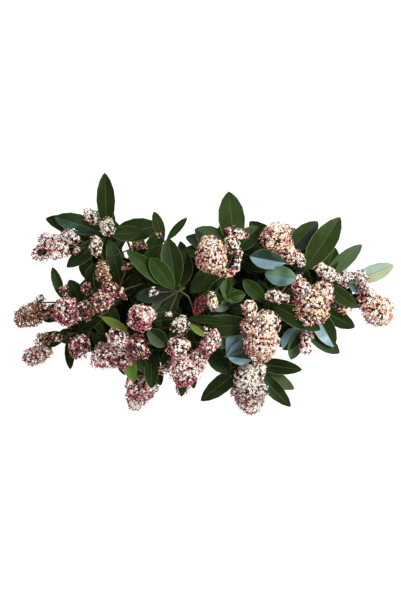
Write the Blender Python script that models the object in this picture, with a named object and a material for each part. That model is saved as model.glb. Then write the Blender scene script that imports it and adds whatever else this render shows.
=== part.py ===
import math
import random

import bmesh
import bpy
from mathutils import Matrix, Vector, noise
from mathutils.bvhtree import BVHTree

# Skimmia shrub in flower, rooted, cut flat at the ground.
# Sizes in this file are millimetres and are turned to metres as the shapes are made.
# X runs to the right of the plan view, Y to the back, Z up from the flat cut.
MM = 0.001

# Crown as a low dome over an oval plan.
CROWN_HALF_WIDTH = 330
CROWN_HALF_DEPTH = 205
CROWN_TOP = 420
CROWN_FALL = 165
SHOOT_DROP = 50
INNER_HALF_WIDTH = 195
INNER_HALF_DEPTH = 82

# Main stem.
STEM_HEIGHT = 132
STEM_FOOT_RADIUS = 23
STEM_LOW_RADIUS = 15
STEM_TOP_RADIUS = 11.5
STEM_SIDES = 12
STEM_LEAN = (-7, 5)

# Main boughs, one to each mass of foliage.
BOUGH_STARTS = {
    "bough_left_back": 50,
    "bough_left": 76,
    "bough_left_front": 46,
    "bough_front_left": 92,
    "bough_front": 108,
    "bough_back": 112,
    "bough_right_back": 86,
    "bough_right": 42,
    "bough_right_front": 66,
    "bough_front_right": 98,
    "bough_centre": 136,
}
BOUGH_START_RADIUS = 6.4
BOUGH_END_RADIUS = 4.6
BOUGH_SIDES = 8
BOUGH_REACH = 0.44
BOUGH_CLIMB = 0.47
JOINT_GAP = 0.3

# Twigs inside a mass.
TWIG_SIDES = 3
TWIG_RADII = (4.4, 3.8, 3.3, 3.0)
TWIG_SWAYS = (0, 12, -12, 24, -24, 38, -38, 54, -54)
STALK_RADIUS = 2.3
STALK_LIFT = 14
STALK_SPACING = 0.05
STEM_TWIG_SIDES = 5
STEM_TWIG_RADII = (4.6, 4.6, 4.6, 4.4, 4.0)
STEM_STRAIGHT = 7
TOP_STATIONS = (0.97, 0.84, 0.72)
LOW_STATIONS = (0.56, 0.40, 0.22)
HEART_REACH = 0.78
HEART_DROP = 105

# Leaves.
LEAF_THICKNESS = 0.014
LEAF_SUNK = 1.2
LEAF_DROOP = 0.10
LEAF_FOLD = 0.16
LEAF_CROWN_AT = 0.28
MARKED_SIDES = ((0.32, 0.92), (0.76, 0.84))
FILL_SIDES = ((0.48, 1.04),)
FILL_LENGTH = 76
FILL_WIDTH = 25
LEAF_FOOT = 9
LEAF_SPACING = 3.4
GENTLE_RISES = (10, 15, 5, 20, 0, -6, 25, -12)
STEEP_RISES = (31, -18, 37, -25, -31)
MARKED_TRIES = ((0, GENTLE_RISES), (1, GENTLE_RISES), (2, GENTLE_RISES), (3, STEEP_RISES),
                (9, GENTLE_RISES + STEEP_RISES))
FILL_TRIES = 16
FILL_RISE_STEP = 5.0
TOP_FIRST_RISE = 30
LOW_FIRST_RISE = 48
FILL_LEAVES_TOP = 5
FILL_LEAVES_LOW = 7
LOW_SHOOTS = 3
LOW_SPREAD = 17
GOLDEN_TURN = 137.5
CLEARANCE = 0.6
TINY_EDGE = 0.9
SEED = 41

LEAF_COLOUR = (0.036, 0.068, 0.018, 1.0)
BARK_COLOUR = (0.150, 0.098, 0.052, 1.0)

# Each mass is a list of shoots. A shoot stands at a plan position, carries flower heads
# (x, y, length, width, bearing of the length) and marked leaves (bearing, length, width).
MASSES = {
    "foliage_left_back": [
        {"at": (-142, 100), "heads": [(-168, 126, 32, 26, 150), (-142, 109, 20, 18, 90)],
         "leaves": [(89, 98, 32), (161, 90, 32), (166, 106, 32), (2, 60, 26),
                    (9, 88, 40), (217, 88, 26), (286, 79, 26)]},
        {"at": (-178, 84), "heads": [(-240, 88, 38, 24, 178), (-255, 67, 36, 28, 200),
                                     (-205, 95, 30, 22, 170), (-218, 70, 30, 28, 195),
                                     (-191, 70, 16, 14, 220)],
         "leaves": [(268, 64, 24)]},
        {"at": (-153, 53), "heads": [(-158, 76, 36, 20, 95), (-144, 31, 38, 28, 285)],
         "leaves": [(236, 55, 22)]},
    ],
    "foliage_left": [
        {"at": (-214, -17), "heads": [(-273, -42, 60, 42, 203), (-254, -19, 30, 24, 150)],
         "leaves": [(109, 62, 18)]},
        {"at": (-179, -24), "heads": [(-202, -35, 62, 48, 195), (-208, 1, 20, 18, 90)],
         "leaves": [(120, 50, 28)]},
        {"at": (-134, -22), "heads": [(-142, -19, 44, 40, 170), (-170, 5, 20, 16, 120),
                                      (-127, 4, 34, 28, 60), (-102, 42, 22, 12, 20)],
         "leaves": [(310, 54, 13)]},
    ],
    "foliage_left_front": [
        {"at": (-209, -71), "heads": [(-268, -108, 52, 33, 200), (-254, -82, 25, 22, 150),
                                      (-229, -78, 18, 16, 160)],
         "leaves": [(201, 52, 28), (272, 62, 17)]},
        {"at": (-173, -70), "heads": [(-187, -93, 44, 34, 255)],
         "leaves": [(235, 50, 20)]},
        {"at": (-118, -77), "heads": [(-151, -103, 44, 40, 220), (-114, -85, 60, 56, 270),
                                      (-80, -95, 34, 32, 330), (-126, -117, 34, 30, 260)],
         "leaves": [(289, 62, 25), (294, 78, 20), (308, 74, 24)]},
    ],
    "foliage_front_left": [
        {"at": (-66, -105), "heads": [(-84, -165, 54, 58, 255), (-95, -192, 42, 38, 250)],
         "leaves": [(274, 54, 25), (287, 56, 22)]},
        {"at": (-69, -50), "heads": [(-79, -43, 56, 50, 120)],
         "leaves": [(312, 52, 30)]},
    ],
    "foliage_front": [
        {"at": (-6, -88), "heads": [(-19, -91, 40, 34, 120), (34, -91, 50, 42, 60),
                                    (-9, -132, 66, 66, 270), (-48, -134, 20, 20, 200),
                                    (-13, -165, 28, 24, 265)],
         "leaves": [(267, 89, 22), (281, 77, 22)]},
        {"at": (-6, -43), "heads": [(-14, -54, 32, 24, 100), (27, -64, 14, 14, 90)],
         "leaves": [(313, 55, 20)]},
    ],
    "foliage_centre": [
        {"at": (-25, 14), "heads": [(-56, -2, 18, 14, 30), (-32, -35, 14, 10, 0)],
         "leaves": [(95, 80, 34), (146, 96, 26), (129, 62, 30)]},
        {"at": (-40, 85), "heads": [(-50, 96, 12, 10, 120)],
         "leaves": [(110, 52, 19), (49, 54, 14), (222, 52, 20)]},
        {"at": (24, -14), "heads": [(17, -22, 34, 24, 250), (37, -17, 32, 18, 280)],
         "leaves": []},
    ],
    "foliage_back": [
        {"at": (76, 68), "heads": [(32, 58, 66, 46, 90), (75, 70, 34, 18, 90),
                                   (75, 95, 40, 16, 170), (66, 28, 26, 14, 0),
                                   (76, 42, 14, 12, 90)],
         "leaves": [(97, 96, 45), (151, 76, 40), (163, 86, 30), (177, 90, 26),
                    (222, 101, 34), (46, 58, 32)]},
    ],
    "foliage_right_back": [
        {"at": (158, 59), "heads": [(146, 86, 64, 54, 110), (182, 56, 30, 24, 330)],
         "leaves": [(181, 64, 32), (47, 82, 36), (133, 83, 36)]},
        {"at": (188, 29), "heads": [(144, -9, 42, 20, 170)],
         "leaves": [(179, 66, 34), (58, 114, 40)]},
    ],
    "foliage_right": [
        {"at": (224, 20), "heads": [(220, 36, 44, 27, 150)],
         "leaves": [(66, 60, 32), (41, 90, 27), (321, 76, 26)]},
        {"at": (273, 14), "heads": [(264, 20, 34, 26, 95), (297, 19, 36, 22, 100)],
         "leaves": [(24, 84, 30), (340, 34, 20)]},
        {"at": (270, -14), "heads": [(321, -30, 64, 62, 0), (264, -27, 26, 18, 0)],
         "leaves": []},
    ],
    "foliage_right_front": [
        {"at": (206, -22), "heads": [(203, -25, 72, 66, 60), (222, -1, 36, 40, 90),
                                     (184, 14, 40, 24, 120)],
         "leaves": [(300, 76, 36), (334, 84, 30)]},
        {"at": (184, -64), "heads": [(196, -85, 46, 22, 270)],
         "leaves": [(331, 81, 30), (230, 48, 24), (252, 50, 22)]},
    ],
    "foliage_front_right": [
        {"at": (116, -55), "heads": [(120, -84, 66, 62, 270), (129, -43, 40, 36, 80),
                                     (99, -30, 36, 22, 100)],
         "leaves": [(181, 106, 38)]},
        {"at": (131, -18), "heads": [],
         "leaves": [(333, 95, 34), (138, 56, 24)]},
        {"at": (98, -121), "heads": [(102, -161, 62, 64, 270), (105, -194, 42, 40, 270)],
         "leaves": [(110, 68, 32), (174, 74, 28), (146, 58, 26), (218, 101, 32),
                    (354, 92, 27), (314, 106, 28), (327, 90, 26)]},
    ],
}


def crown_height(x, y):
    spread = (x / CROWN_HALF_WIDTH) ** 2 + (y / CROWN_HALF_DEPTH) ** 2
    return CROWN_TOP - CROWN_FALL * spread


def shoot_base(shoot):
    x, y = shoot["at"]
    return Vector((x, y, crown_height(x, y) - SHOOT_DROP))


def stem_centre(z):
    share = z / STEM_HEIGHT
    sway = share * share
    return Vector((STEM_LEAN[0] * sway, STEM_LEAN[1] * sway, z))


def clear_scene():
    for item in list(bpy.data.objects):
        bpy.data.objects.remove(item, do_unlink=True)


def make_material(name, colour, roughness):
    material = bpy.data.materials.new(name)
    material.use_nodes = True
    shader = material.node_tree.nodes["Principled BSDF"]
    shader.inputs["Base Color"].default_value = colour
    shader.inputs["Roughness"].default_value = roughness
    shader.inputs["Metallic"].default_value = 0.0
    return material


def curve_points(start, control, end, count):
    points = []
    for step in range(count + 1):
        t = step / count
        points.append(start * (1 - t) ** 2 + control * (2 * t * (1 - t)) + end * t * t)
    return points


def limb(points, radii, sides):
    # A tapering limb: rings of the given radii square to the path, capped at both ends.
    bm = bmesh.new()
    previous = None
    side = None
    last = len(points) - 1
    for index, point in enumerate(points):
        ahead = points[min(index + 1, last)] - points[max(index - 1, 0)]
        ahead.normalize()
        if side is None:
            side = ahead.orthogonal().normalized()
        side = (side - ahead * side.dot(ahead)).normalized()
        other = ahead.cross(side)
        ring = []
        for corner in range(sides):
            turn = 2 * math.pi * corner / sides
            offset = side * math.cos(turn) + other * math.sin(turn)
            ring.append(bm.verts.new(point + offset * radii[index]))
        if previous is None:
            bm.faces.new(list(reversed(ring)))
        else:
            for corner in range(sides):
                follow = (corner + 1) % sides
                bm.faces.new((previous[corner], previous[follow], ring[follow], ring[corner]))
        previous = ring
    bm.faces.new(previous)
    return bm


def flower_head(head, height, grow, rng):
    # A head is a rounded, slightly lumpy body stretched along its bearing.
    x, y, length, width, bearing = head
    detail = 2 if length >= 36 else 1
    bm = bmesh.new()
    bmesh.ops.create_icosphere(bm, subdivisions=detail, radius=1.0)
    shift = Vector((rng.uniform(0, 50), rng.uniform(0, 50), rng.uniform(0, 50)))
    deep = 0.45 * (length + width)
    for vert in bm.verts:
        swell = 1.02 + 0.16 * noise.noise(vert.co * 1.7 + shift)
        if detail == 1:
            swell += 0.10
        vert.co = Vector((vert.co.x * (length * 0.5 * swell + grow),
                          vert.co.y * (width * 0.5 * swell + grow),
                          vert.co.z * (deep * 0.5 * swell + grow)))
    turn = Matrix.Rotation(math.radians(bearing), 4, "Z")
    bm.transform(Matrix.Translation(Vector((x, y, height))) @ turn)
    return bm


def leaf_blade(length, width, sides, grow, start=0.0):
    # A closed blade: a root point, pairs of side points as (share of length, share of width),
    # a tip, and one crown point above and one below the midrib near the foot.
    half = width * 0.5 + grow
    reach = length + grow
    thick = length * LEAF_THICKNESS * 0.5 + grow

    def sag(x):
        return -LEAF_DROOP * x * x / reach

    bm = bmesh.new()
    root = bm.verts.new((start - LEAF_SUNK, 0, 0))
    left = []
    right = []
    for share, part in sides:
        x = share * reach
        lift = sag(x) + LEAF_FOLD * half * part
        left.append(bm.verts.new((x, half * part, lift)))
        right.append(bm.verts.new((x, -half * part, lift)))
    tip = bm.verts.new((reach, 0, sag(reach)))
    crown = LEAF_CROWN_AT * reach
    top = bm.verts.new((crown, 0, sag(crown) + thick))
    under = bm.verts.new((crown, 0, sag(crown) - thick))
    outline = [root] + right + [tip] + list(reversed(left))
    for first, second in zip(outline, outline[1:] + outline[:1]):
        bm.faces.new((first, second, top))
        bm.faces.new((second, first, under))
    return bm


def leaf_matrix(root, bearing, rise, roll):
    turn = Matrix.Rotation(math.radians(bearing), 4, "Z")
    tilt = Matrix.Rotation(math.radians(-rise), 4, "Y")
    twist = Matrix.Rotation(math.radians(roll), 4, "X")
    return Matrix.Translation(root) @ turn @ tilt @ twist


def bounds_of(bm):
    low = Vector((1e9, 1e9, 1e9))
    high = Vector((-1e9, -1e9, -1e9))
    for vert in bm.verts:
        for axis in range(3):
            low[axis] = min(low[axis], vert.co[axis])
            high[axis] = max(high[axis], vert.co[axis])
    return low, high


class Space:
    # What stands where, so that no mass grows into another or into a limb.
    def __init__(self):
        self.pieces = []

    def add(self, owner, kind, bm):
        low, high = bounds_of(bm)
        self.pieces.append((owner, kind, BVHTree.FromBMesh(bm), low, high))

    def hits(self, owner, guard, kinds=None):
        # Counts pieces of other owners met by the guard, or of the owner's own listed kinds.
        low, high = bounds_of(guard)
        tree = BVHTree.FromBMesh(guard)
        met = 0
        for other, kind, other_tree, other_low, other_high in self.pieces:
            own = other == owner
            if own and (kinds is None or kind not in kinds):
                continue
            if not own and kinds is not None:
                continue
            apart = any(low[axis] > other_high[axis] or high[axis] < other_low[axis]
                        for axis in range(3))
            if apart:
                continue
            if tree.overlap(other_tree):
                met += 1
        return met


def cover_discs():
    # Discs that follow the marked leaves and heads in plan, as (x, y, radius).
    discs = []
    for shoots in MASSES.values():
        for shoot in shoots:
            x, y = shoot["at"]
            discs.append((x, y, 27))
            for head in shoot["heads"]:
                discs.append((head[0], head[1], 0.5 * min(head[2], head[3]) + 3))
            for bearing, length, width in shoot["leaves"]:
                turn = math.radians(bearing)
                for share, part in ((0.25, 0.42), (0.4, 0.5), (0.55, 0.5), (0.7, 0.42), (0.85, 0.28)):
                    reach = length * share
                    discs.append((x + reach * math.cos(turn), y + reach * math.sin(turn),
                                  width * part + 3))
    return discs


def covered(point, discs):
    if (point.x / INNER_HALF_WIDTH) ** 2 + (point.y / INNER_HALF_DEPTH) ** 2 < 1:
        return True
    for x, y, radius in discs:
        if (point.x - x) ** 2 + (point.y - y) ** 2 < radius * radius:
            return True
    return False


def keep_piece(bm, collection, number):
    bmesh.ops.triangulate(bm, faces=bm.faces)
    bm.transform(Matrix.Scale(MM, 4))
    mesh = bpy.data.meshes.new(f"{collection.name}_piece_{number}")
    bm.to_mesh(mesh)
    bm.free()
    item = bpy.data.objects.new(mesh.name, mesh)
    collection.objects.link(item)
    return item


class Mass:
    # One mass of foliage: a stem, twigs, flower heads and leaves, fused at the end.
    def __init__(self, name, shoots, space):
        self.name = name
        self.shoots = shoots
        self.space = space
        self.pieces = []
        self.rng = random.Random(SEED + sum(ord(letter) for letter in name))
        middle = Vector((0, 0, 0))
        for shoot in shoots:
            middle += shoot_base(shoot)
        self.middle = middle / len(shoots)

    def gate(self):
        # Where the bough ends and the stem of the mass begins.
        flat = self.middle * BOUGH_REACH
        return Vector((flat.x, flat.y, self.middle.z * BOUGH_CLIMB))

    def heart(self):
        reach = self.middle * HEART_REACH
        return Vector((reach.x, reach.y, self.middle.z - HEART_DROP))

    def put(self, bm, kind):
        self.space.add(self.name, kind, bm)
        self.pieces.append(bm)

    def grow_stem(self, bough_direction):
        start = self.gate() + bough_direction * JOINT_GAP
        heart = self.heart()
        lead = start + bough_direction * (heart - start).length * 0.45
        self.stem = curve_points(start, lead, heart, 3)
        path = [start, start + bough_direction * STEM_STRAIGHT] + self.stem[1:]
        self.put(limb(path, STEM_TWIG_RADII, STEM_TWIG_SIDES), "twig")

    def along_stem(self, share):
        place = share * (len(self.stem) - 1)
        index = min(int(place), len(self.stem) - 2)
        return self.stem[index].lerp(self.stem[index + 1], place - index)

    def grow_twig(self, base, share):
        start = self.along_stem(share)
        out = Vector((base.x - start.x, base.y - start.y, 0))
        across = Vector((-out.y, out.x, 0)).normalized()
        for sway in TWIG_SWAYS:
            control = start + out * 0.55 + Vector((0, 0, (base.z - start.z) * 0.30))
            points = curve_points(start, control + across * sway, base, 3)
            guard = limb(points, [radius + CLEARANCE for radius in TWIG_RADII], TWIG_SIDES)
            blocked = self.space.hits(self.name, guard) > 0
            guard.free()
            if not blocked:
                break
        if blocked:
            return None
        self.put(limb(points, TWIG_RADII, TWIG_SIDES), "twig")
        return points

    def grow_heads(self, shoot, points):
        for index, head in enumerate(shoot["heads"]):
            size = 0.5 * (head[2] + head[3])
            height = crown_height(head[0], head[1]) - SHOOT_DROP + STALK_LIFT + 0.42 * size
            centre = Vector((head[0], head[1], height))
            foot = points[-1].lerp(points[-2], STALK_SPACING * index)
            self.put(limb([foot, centre], [STALK_RADIUS] * 2, TWIG_SIDES), "twig")
            self.put(flower_head(head, height, 0, self.rng), "head")

    def leaf_fits(self, place, length, width, sides, crossings, discs):
        # The guard is a little larger than the leaf. Beyond its foot the leaf may cross
        # only so many twigs, heads and leaves of its own mass, and none of any other.
        guard = leaf_blade(length, width, sides, CLEARANCE)
        guard.transform(place)
        outside = discs is not None and any(not covered(vert.co, discs) for vert in guard.verts)
        blocked = outside or self.space.hits(self.name, guard) > 0
        guard.free()
        if blocked:
            return False
        guard = leaf_blade(length, width, sides, CLEARANCE, LEAF_FOOT)
        guard.transform(place)
        met = self.space.hits(self.name, guard, ("head", "leaf", "twig"))
        guard.free()
        return met <= crossings

    def try_leaf(self, root, bearing, rises, length, width, sides, crossings, discs):
        # The length is as seen from above, so a rising leaf is longer than it looks.
        for rise in rises:
            place = leaf_matrix(root, bearing, rise, self.rng.uniform(-10, 10))
            full = length / math.cos(math.radians(min(abs(rise), 35)))
            if self.leaf_fits(place, full, width, sides, crossings, discs):
                blade = leaf_blade(full, width, sides, 0)
                blade.transform(place)
                self.put(blade, "leaf")
                return True
        return False

    def grow_marked_leaves(self, shoot, points):
        missed = []
        reach = (points[-1] - points[-2]).length
        for index, (bearing, length, width) in enumerate(shoot["leaves"]):
            root = points[-1].lerp(points[-2], min(0.95, LEAF_SPACING * index / reach))
            grown = False
            for crossings, rises in MARKED_TRIES:
                if not grown:
                    grown = self.try_leaf(root, bearing, rises, length, width, MARKED_SIDES,
                                          crossings, None)
            if not grown:
                missed.append(bearing)
        return missed

    def grow_filling(self, points, first, count, discs, first_rise):
        # Leaves turned by the golden angle down the last part of a twig.
        bearing = self.rng.uniform(0, 360)
        reach = (points[-1] - points[-2]).length
        grown = 0
        for index in range(FILL_TRIES):
            if grown == count:
                break
            station = LEAF_SPACING * (first + grown) + 0.5 * index
            root = points[-1].lerp(points[-2], min(0.95, station / reach))
            length = FILL_LENGTH * self.rng.uniform(0.72, 1.12)
            width = FILL_WIDTH * self.rng.uniform(0.85, 1.15)
            rise = first_rise - FILL_RISE_STEP * index
            length *= math.cos(math.radians(min(abs(rise), 35)))
            if self.try_leaf(root, bearing, (rise, rise - 10, rise + 10), length, width,
                             FILL_SIDES, 0, discs):
                grown += 1
            bearing += GOLDEN_TURN

    def low_shoot_base(self, index):
        # Lower shoots fill the skirt, nearer the ground and a little closer in.
        level = index % LOW_SHOOTS
        side = (-1, 1, 0)[level]
        reach = (0.94, 0.86, 0.62)[level]
        rise = (0.72, 0.52, 0.34)[level]
        turn = Matrix.Rotation(math.radians(LOW_SPREAD * side), 3, "Z")
        spot = turn @ Vector((self.middle.x * reach, self.middle.y * reach, 0))
        return Vector((spot.x, spot.y, self.middle.z * rise))

    def fuse(self, material):
        collection = bpy.data.collections.new(self.name + "_pieces")
        bpy.context.scene.collection.children.link(collection)
        for number, bm in enumerate(self.pieces[1:]):
            keep_piece(bm, collection, number)
        body = keep_piece(self.pieces[0], bpy.context.scene.collection, 0)
        body.name = self.name
        body.data.name = self.name
        union = body.modifiers.new("fuse", "BOOLEAN")
        union.operation = "UNION"
        union.operand_type = "COLLECTION"
        union.collection = collection
        union.solver = "MANIFOLD"
        bpy.context.view_layer.objects.active = body
        bpy.ops.object.modifier_apply(modifier=union.name)
        for item in list(collection.objects):
            bpy.data.objects.remove(item, do_unlink=True)
        bpy.data.collections.remove(collection)
        keep_largest_body(body)
        body.data.materials.clear()
        body.data.materials.append(material)


def shell_volume(faces):
    total = 0.0
    for face in faces:
        corners = [vert.co for vert in face.verts]
        for index in range(1, len(corners) - 1):
            total += corners[0].dot(corners[index].cross(corners[index + 1])) / 6
    return total


def turned_normal(face, pair, spot):
    corners = [spot if vert in pair else vert.co for vert in face.verts]
    return (corners[1] - corners[0]).cross(corners[2] - corners[0])


def merge_tiny_edges(bm):
    # Where leaves meet twigs the fusing leaves edges too small to matter. Each is drawn
    # together as long as the surface stays whole and no face turns over.
    limit = TINY_EDGE * MM
    edges = sorted((edge for edge in bm.edges if edge.calc_length() < limit),
                   key=lambda edge: edge.calc_length())
    for edge in edges:
        if not edge.is_valid or edge.calc_length() >= limit:
            continue
        pair = tuple(edge.verts)
        near = [{other.other_vert(vert) for other in vert.link_edges} for vert in pair]
        if len(near[0] & near[1]) != 2:
            continue
        around = {face for vert in pair for face in vert.link_faces} - set(edge.link_faces)
        for spot in ((pair[0].co + pair[1].co) / 2, pair[0].co.copy(), pair[1].co.copy()):
            if all(turned_normal(face, (), spot).dot(turned_normal(face, pair, spot)) > 0
                   for face in around):
                bmesh.ops.pointmerge(bm, verts=pair, merge_co=spot)
                break


def keep_largest_body(item):
    # Fills hollows sealed by the fusing and drops loose scraps.
    bm = bmesh.new()
    bm.from_mesh(item.data)
    left = set(bm.faces)
    shells = []
    while left:
        seed = left.pop()
        shell = [seed]
        queue = [seed]
        while queue:
            face = queue.pop()
            for edge in face.edges:
                for other in edge.link_faces:
                    if other in left:
                        left.remove(other)
                        shell.append(other)
                        queue.append(other)
        shells.append(shell)
    shells.sort(key=shell_volume)
    for shell in shells[:-1]:
        bmesh.ops.delete(bm, geom=shell, context="FACES")
    loose = [vert for vert in bm.verts if not vert.link_faces]
    bmesh.ops.delete(bm, geom=loose, context="VERTS")
    bmesh.ops.triangulate(bm, faces=bm.faces)
    merge_tiny_edges(bm)
    bm.to_mesh(item.data)
    bm.free()


def finish_limb(bm, name, material):
    item = keep_piece(bm, bpy.context.scene.collection, 0)
    item.name = name
    item.data.name = name
    item.data.materials.append(material)
    return item


def main_stem(extra):
    # Flared foot, cut flat at the ground, tapering to the fork.
    heights = (0, 8, 24, 60, 100, STEM_HEIGHT)
    radii = []
    for z in heights:
        share = z / STEM_HEIGHT
        radius = STEM_LOW_RADIUS + (STEM_TOP_RADIUS - STEM_LOW_RADIUS) * share
        flare = (STEM_FOOT_RADIUS - STEM_LOW_RADIUS) * math.exp(-z / 13)
        radii.append(radius + flare + extra)
    points = [stem_centre(z) for z in heights]
    if extra:
        points[-1].z += extra
    bm = limb(points, radii, STEM_SIDES)
    for vert in bm.verts:
        if vert.co.z < 4:
            vert.co.z = 0
    return bm


def cut_to_stem(bough):
    # The bough is trimmed a joint's gap clear of the main stem.
    guard = finish_limb(main_stem(JOINT_GAP), "stem_guard", bough.data.materials[0])
    guard.hide_render = True
    guard.display_type = "WIRE"
    trim = bough.modifiers.new("trim", "BOOLEAN")
    trim.operation = "DIFFERENCE"
    trim.object = guard
    trim.solver = "EXACT"
    bpy.context.view_layer.objects.active = bough
    bpy.ops.object.modifier_apply(modifier=trim.name)
    bpy.data.objects.remove(guard, do_unlink=True)
    keep_largest_body(bough)


def build():
    clear_scene()
    leaf_material = make_material("leaf_green", LEAF_COLOUR, 0.42)
    bark_material = make_material("bark_brown", BARK_COLOUR, 0.85)
    space = Space()
    discs = cover_discs()

    stem = main_stem(0)
    space.add("main_stem", "limb", stem)
    finish_limb(stem, "main_stem", bark_material)

    masses = [Mass(name, shoots, space) for name, shoots in MASSES.items()]
    for mass in masses:
        gate = mass.gate()
        name = mass.name.replace("foliage", "bough")
        level = BOUGH_STARTS[name]
        origin = stem_centre(level)
        control = Vector((gate.x * 0.55, gate.y * 0.55, level + (gate.z - level) * 0.45))
        points = curve_points(origin, control, gate, 6)
        steps = len(points) - 1
        radii = [BOUGH_START_RADIUS + (BOUGH_END_RADIUS - BOUGH_START_RADIUS) * step / steps
                 for step in range(steps + 1)]
        bough = limb(points, radii, BOUGH_SIDES)
        space.add(name, "limb", bough)
        item = finish_limb(bough, name, bark_material)
        cut_to_stem(item)
        mass.grow_stem((points[-1] - points[-2]).normalized())

    for mass in masses:
        mass.tops = []
        mass.lows = []
        for index, shoot in enumerate(mass.shoots):
            base = shoot_base(shoot)
            points = mass.grow_twig(base, TOP_STATIONS[index])
            if points is None:
                print(mass.name, shoot["at"], "shoot without room")
                continue
            mass.tops.append((shoot, points))
        for index in range(LOW_SHOOTS):
            base = mass.low_shoot_base(index)
            points = mass.grow_twig(base, LOW_STATIONS[index])
            if points is not None:
                mass.lows.append(points)
        for shoot, points in mass.tops:
            mass.grow_heads(shoot, points)

    for mass in masses:
        for shoot, points in mass.tops:
            missed = mass.grow_marked_leaves(shoot, points)
            if missed:
                print(mass.name, shoot["at"], "leaves without room", missed)

    for mass in masses:
        for shoot, points in mass.tops:
            mass.grow_filling(points, len(shoot["leaves"]), FILL_LEAVES_TOP, discs, TOP_FIRST_RISE)
        for points in mass.lows:
            mass.grow_filling(points, 0, FILL_LEAVES_LOW, discs, LOW_FIRST_RISE)

    for mass in masses:
        mass.fuse(leaf_material)


build()
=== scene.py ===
import math
import random

import bmesh
import bpy
import numpy as np
from mathutils import Matrix, Vector


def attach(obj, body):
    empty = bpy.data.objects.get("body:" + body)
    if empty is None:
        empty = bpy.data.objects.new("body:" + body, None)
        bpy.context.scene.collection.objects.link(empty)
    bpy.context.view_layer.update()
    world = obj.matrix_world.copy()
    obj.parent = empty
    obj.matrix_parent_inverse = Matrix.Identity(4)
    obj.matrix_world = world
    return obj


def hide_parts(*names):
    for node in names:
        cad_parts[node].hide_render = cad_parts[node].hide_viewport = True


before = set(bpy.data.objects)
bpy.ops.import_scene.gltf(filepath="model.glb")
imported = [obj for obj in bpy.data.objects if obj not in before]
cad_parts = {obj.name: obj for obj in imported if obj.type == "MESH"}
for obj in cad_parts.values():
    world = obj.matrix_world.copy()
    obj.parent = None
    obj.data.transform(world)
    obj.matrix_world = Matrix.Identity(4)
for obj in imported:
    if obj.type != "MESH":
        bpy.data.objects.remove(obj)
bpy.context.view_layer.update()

# Skimmia in flower. The plant's sizes are millimetres, which mm turns to metres.
# The camera, the lights and the floor are in metres.
mm = 0.001
print("frame loaded", len(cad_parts), "nodes")

# crown, the same dome as the solids have
crown = dict(halfWidth=330, halfDepth=205, top=420, fall=165, shootDrop=50, headLift=14, headRise=0.42,
             innerHalfWidth=195, innerHalfDepth=82)
stemShape = dict(height=132, footRadius=23, lowRadius=15, topRadius=11.5, flareHeight=13, lean=(-7, 5),
                 sides=40, rings=36, relief=1.1, reliefSize=6)
boughShape = dict(startRadius=6.4, endRadius=4.6, reach=0.44, climb=0.47, bend=0.55, bendClimb=0.45,
                  steps=12, fineness=3, cuts=2, relief=0.7, reliefSize=5)
boughStarts = dict(left_back=50, left=76, left_front=46, front_left=92, front=108, back=112,
                   right_back=86, right=42, right_front=66, front_right=98, centre=136)
sectors = dict(left=("left_back", "left", "left_front"),
               middle=("front_left", "front", "centre", "back"),
               right=("right_back", "right", "right_front", "front_right"))

# Each mass is a list of shoots: where it stands and how far it is raised above the others,
# its heads as x, y, length, width, bearing, tint and taper where it has one,
# and its leaves as bearing, length, width, left/right colour, rise and droop where it is set.
# Some leaf colours are painted light: reflections and highlights on a leaf or on one half of it, and the
# darkest green is painted shade.
masses = {}
masses["left_back"] = [
    dict(at=(-142, 100),
         heads=[(-166, 127, 38, 24, 140, "silver"), (-141, 109, 32, 26, 100, "silver")],
         leaves=[(89, 98, 32, "dark", 16), (161, 95, 34, "teal/dark", -2), (166, 111, 32, "dark", -6),
                 (2, 60, 26, "mid", 14), (9, 88, 40, "dark", 8), (217, 88, 29, "dark", 8),
                 (286, 79, 26, "dark", 12)]),
    dict(at=(-178, 84),
         heads=[(-240, 88, 44, 30, 178, "rose"), (-254, 68, 40, 33, 200, "dusk"),
                (-205, 93, 38, 26, 170, "grey"), (-222, 74, 40, 38, 195, "pink"),
                (-191, 70, 16, 14, 220, "cream")],
         leaves=[(268, 64, 24, "dark", -18)]),
    dict(at=(-153, 53),
         heads=[(-158, 76, 36, 20, 95, "cream"), (-144, 31, 38, 26, 285, "tan"),
                (-84, 77, 30, 13, 0, "brown")]),
]
masses["left"] = [
    dict(at=(-214, -17),
         heads=[(-274, -41, 58, 42, 203, "brown", 0.1), (-256, -18, 32, 22, 50, "brown"),
                (-246, -34, 26, 26, 0, "brown")],
         leaves=[(109, 62, 18, "dark", 6), (222, 50, 28, "deep", -4)]),
    dict(at=(-179, -24),
         heads=[(-205, -33, 50, 52, 195, "rose"), (-178, -32, 34, 46, 100, "dusk"),
                (-211, 2, 24, 20, 90, "brown")],
         leaves=[(120, 50, 28, "dark", 8)]),
    dict(at=(-134, -22),
         heads=[(-144, -16, 42, 38, 60, "dusk"), (-173, 5, 24, 20, 120, "dusk"),
                (-128, 5, 42, 24, 340, "dusk"), (-102, 42, 24, 12, 20, "brown"),
                (-108, -8, 16, 9, 300, "brown")]),
    dict(at=(-149, -40), up=38, leaves=[(334, 52, 15, "yellow", 3)]),
]
masses["left_front"] = [
    dict(at=(-209, -71),
         heads=[(-264, -108, 54, 36, 200, "sepia"), (-252, -81, 34, 25, 20, "brown"),
                (-229, -77, 20, 18, 160, "tan")],
         leaves=[(201, 52, 28, "dark", -14), (272, 62, 17, "dark", 0)]),
    dict(at=(-173, -70),
         heads=[(-187, -92, 46, 40, 255, "dusk")],
         leaves=[(235, 50, 20, "dark", 6)]),
    dict(at=(-118, -77),
         heads=[(-142, -108, 54, 46, 190, "rose"), (-120, -78, 42, 40, 270, "rose"),
                (-88, -92, 46, 42, 330, "dusk"), (-112, -108, 48, 42, 260, "rose")],
         leaves=[(289, 74, 27, "lime", 20), (308, 74, 24, "dark", 14), (276, 64, 25, "dark", 4)]),
]
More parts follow.
